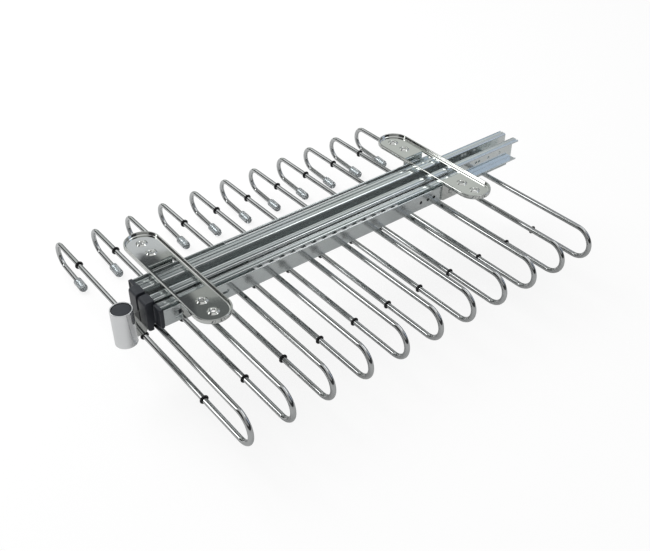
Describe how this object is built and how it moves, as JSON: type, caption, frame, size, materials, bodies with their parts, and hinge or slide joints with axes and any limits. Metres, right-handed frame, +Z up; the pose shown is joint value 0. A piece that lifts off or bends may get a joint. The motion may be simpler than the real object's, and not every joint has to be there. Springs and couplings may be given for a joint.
{
  "type": "pull-out trouser rack",
  "caption": "Chromed wire trouser hangers with hooked ends on a carriage that pulls out on ball-bearing slides, hung under a wardrobe shelf by slotted-window trays.",
  "frame": {"origin": "middle of the four-point mounting pattern, in the plane of the shelf's underside that the plates' rims touch", "axes": "+Z up to the shelf, -Y the way the rack pulls out, +X towards the closed bends of the hangers"},
  "size_m": [0.3622, 0.4784, 0.1008],
  "materials": {
    "chromed_steel": "bright chrome plate on steel",
    "zinc_plated_steel": "zinc-plated rolled steel strip",
    "black_plastic": "moulded, satin",
    "grey_pvc": "soft translucent dip-moulded PVC"
  },
  "bodies": {
    "mounting_frame": {"plate_front": "chromed_steel", "plate_rear": "chromed_steel", "plate_rivet_front_left": "chromed_steel", "plate_rivet_front_right": "chromed_steel", "plate_rivet_rear_left": "chromed_steel", "plate_rivet_rear_right": "chromed_steel", "fixed_rail_left": "zinc_plated_steel", "fixed_rail_right": "zinc_plated_steel"},
    "outer_cage_left": {"ball_cage_outer_left": "zinc_plated_steel"},
    "outer_cage_right": {"ball_cage_outer_right": "zinc_plated_steel"},
    "middle_left": {"intermediate_channel_left": "zinc_plated_steel", "intermediate_runner_left": "zinc_plated_steel", "intermediate_stop_left": "black_plastic"},
    "middle_right": {"intermediate_channel_right": "zinc_plated_steel", "intermediate_runner_right": "zinc_plated_steel", "intermediate_stop_right": "black_plastic"},
    "inner_cage_left": {"ball_cage_inner_left": "zinc_plated_steel"},
    "inner_cage_right": {"ball_cage_inner_right": "zinc_plated_steel"},
    "carriage": {"carriage_rail_left": "zinc_plated_steel", "carriage_rail_right": "zinc_plated_steel", "carriage_stop_left": "black_plastic", "carriage_stop_right": "black_plastic", "carrier_plate": "zinc_plated_steel", "handle_bracket": "chromed_steel", "handle_tube": "chromed_steel", "handle_plug_top": "black_plastic", "handle_plug_bottom": "black_plastic", "hanger_01": "chromed_steel", "hanger_02": "chromed_steel", "hanger_03": "chromed_steel", "hanger_04": "chromed_steel", "hanger_05": "chromed_steel", "hanger_06": "chromed_steel", "hanger_07": "chromed_steel", "hanger_08": "chromed_steel", "hanger_09": "chromed_steel", "hanger_10": "chromed_steel", "hanger_11": "chromed_steel", "cap_01": "grey_pvc", "cap_02": "grey_pvc", "cap_03": "grey_pvc", "cap_04": "grey_pvc", "cap_05": "grey_pvc", "cap_06": "grey_pvc", "cap_07": "grey_pvc", "cap_08": "grey_pvc", "cap_09": "grey_pvc", "cap_10": "grey_pvc", "cap_11": "grey_pvc"}
  },
  "joints": [
    {"name": "carriage_slide", "type": "slide", "parent": "mounting_frame", "child": "carriage", "axis": [0, -1, 0], "range_m": [0, 0.35]},
    {"name": "outer_cage_slide_left", "type": "slide", "parent": "mounting_frame", "child": "outer_cage_left", "axis": [0, -1, 0], "range_m": [0, 0.0875]},
    {"name": "middle_slide_left", "type": "slide", "parent": "mounting_frame", "child": "middle_left", "axis": [0, -1, 0], "range_m": [0, 0.175]},
    {"name": "inner_cage_slide_left", "type": "slide", "parent": "mounting_frame", "child": "inner_cage_left", "axis": [0, -1, 0], "range_m": [0, 0.2625]},
    {"name": "outer_cage_slide_right", "type": "slide", "parent": "mounting_frame", "child": "outer_cage_right", "axis": [0, -1, 0], "range_m": [0, 0.0875]},
    {"name": "middle_slide_right", "type": "slide", "parent": "mounting_frame", "child": "middle_right", "axis": [0, -1, 0], "range_m": [0, 0.175]},
    {"name": "inner_cage_slide_right", "type": "slide", "parent": "mounting_frame", "child": "inner_cage_right", "axis": [0, -1, 0], "range_m": [0, 0.2625]}
  ],
  "couplings": [
    {"joint": "outer_cage_slide_left", "follows": "carriage_slide", "ratio": 0.25},
    {"joint": "middle_slide_left", "follows": "carriage_slide", "ratio": 0.5},
    {"joint": "inner_cage_slide_left", "follows": "carriage_slide", "ratio": 0.75},
    {"joint": "outer_cage_slide_right", "follows": "carriage_slide", "ratio": 0.25},
    {"joint": "middle_slide_right", "follows": "carriage_slide", "ratio": 0.5},
    {"joint": "inner_cage_slide_right", "follows": "carriage_slide", "ratio": 0.75}
  ]
}
